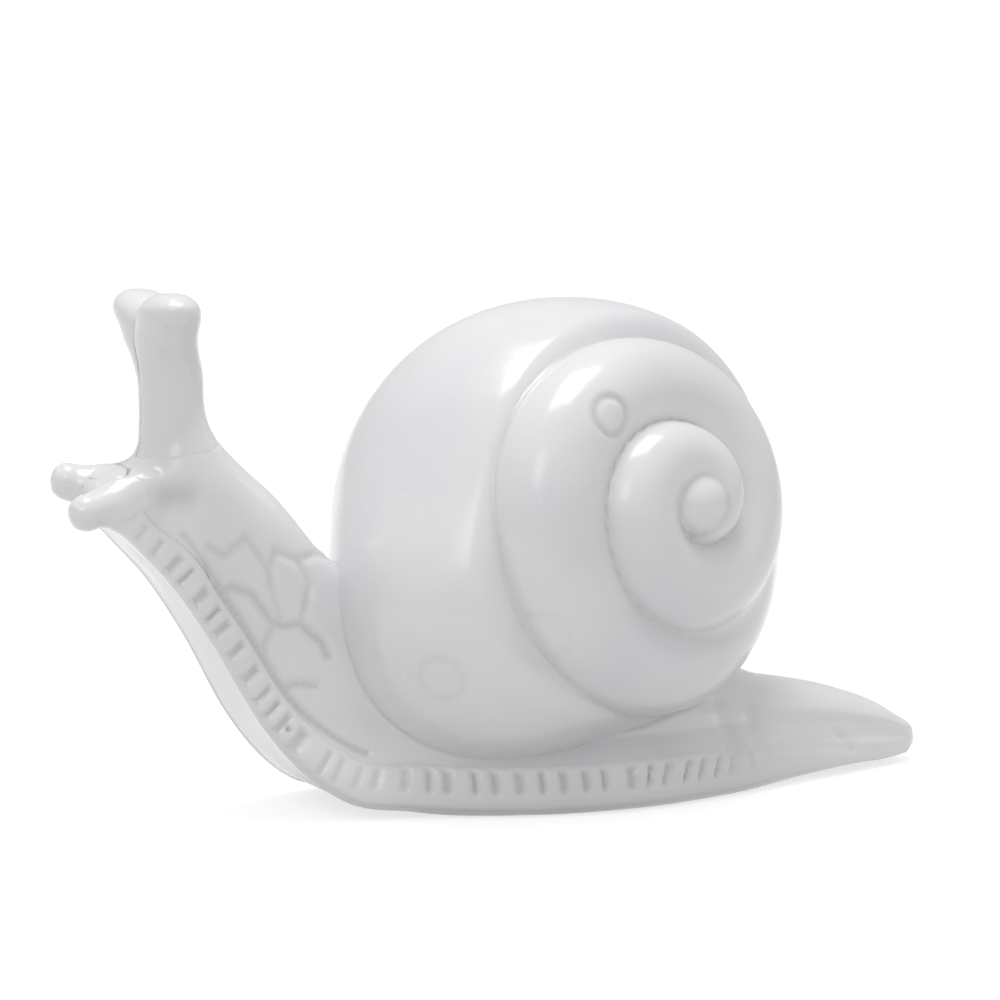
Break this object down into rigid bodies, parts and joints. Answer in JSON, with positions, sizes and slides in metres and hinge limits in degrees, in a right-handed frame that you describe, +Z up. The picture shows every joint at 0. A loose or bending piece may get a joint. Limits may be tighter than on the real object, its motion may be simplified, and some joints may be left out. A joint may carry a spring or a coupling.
{
  "type": "snail figurine",
  "caption": "White gloss-glazed ceramic snail ornament: round spiral shell on a low foot with a scalloped fringe, raised plated neck, paired eye stalks and short feelers.",
  "frame": {"origin": "on the table, under the middle of the figurine's overall box", "axes": "+Z up, +X towards the tail with the head at -X, the shell's spire leans to -Y"},
  "size_m": [0.1897, 0.0917, 0.1057],
  "materials": {
    "body_glaze": "gloss",
    "shell_glaze": "gloss",
    "stalk_glaze": "gloss",
    "feeler_glaze": "gloss",
    "felt": "matte"
  },
  "bodies": {
    "root": {"body": "body_glaze", "shell": "shell_glaze", "left_eye_stalk": "stalk_glaze", "right_eye_stalk": "stalk_glaze", "left_feeler": "feeler_glaze", "right_feeler": "feeler_glaze", "felt_pads": "felt"}
  },
  "joints": []
}
